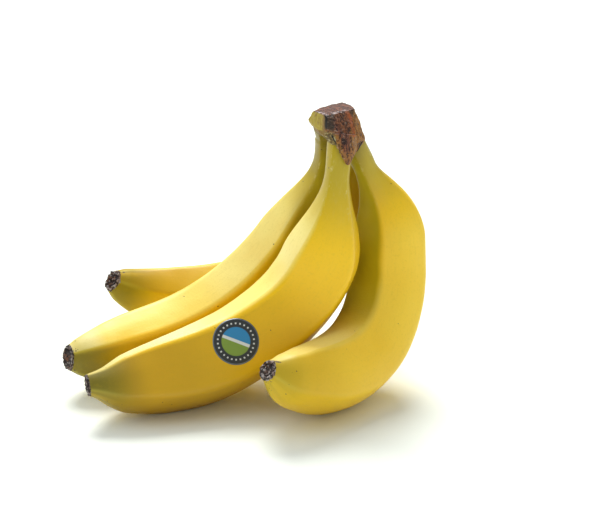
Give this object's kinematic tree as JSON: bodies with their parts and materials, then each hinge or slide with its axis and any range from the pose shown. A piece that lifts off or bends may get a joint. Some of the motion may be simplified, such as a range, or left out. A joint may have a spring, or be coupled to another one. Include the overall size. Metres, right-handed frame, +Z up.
{
  "type": "bunch of bananas",
  "caption": "Bunch of ripe bananas joined at a cut woody crown, standing on its bellies, with a plain round paper label on the middle fruit.",
  "frame": {"origin": "on the surface that the bunch stands on, under the middle of its box", "axes": "+Z up, +X along the longest side of the box, away from the blossom ends of the two long fruits, -Y out of the labelled side"},
  "size_m": [0.1721, 0.163, 0.136],
  "materials": {
    "peel": "satin, waxy",
    "crown_skin": "rough, dried",
    "label_paper": "satin print"
  },
  "bodies": {
    "root": {"crown": "crown_skin", "banana_upper": "peel", "banana_middle": "peel", "banana_front": "peel", "banana_back": "peel", "label": "label_paper"}
  },
  "joints": []
}
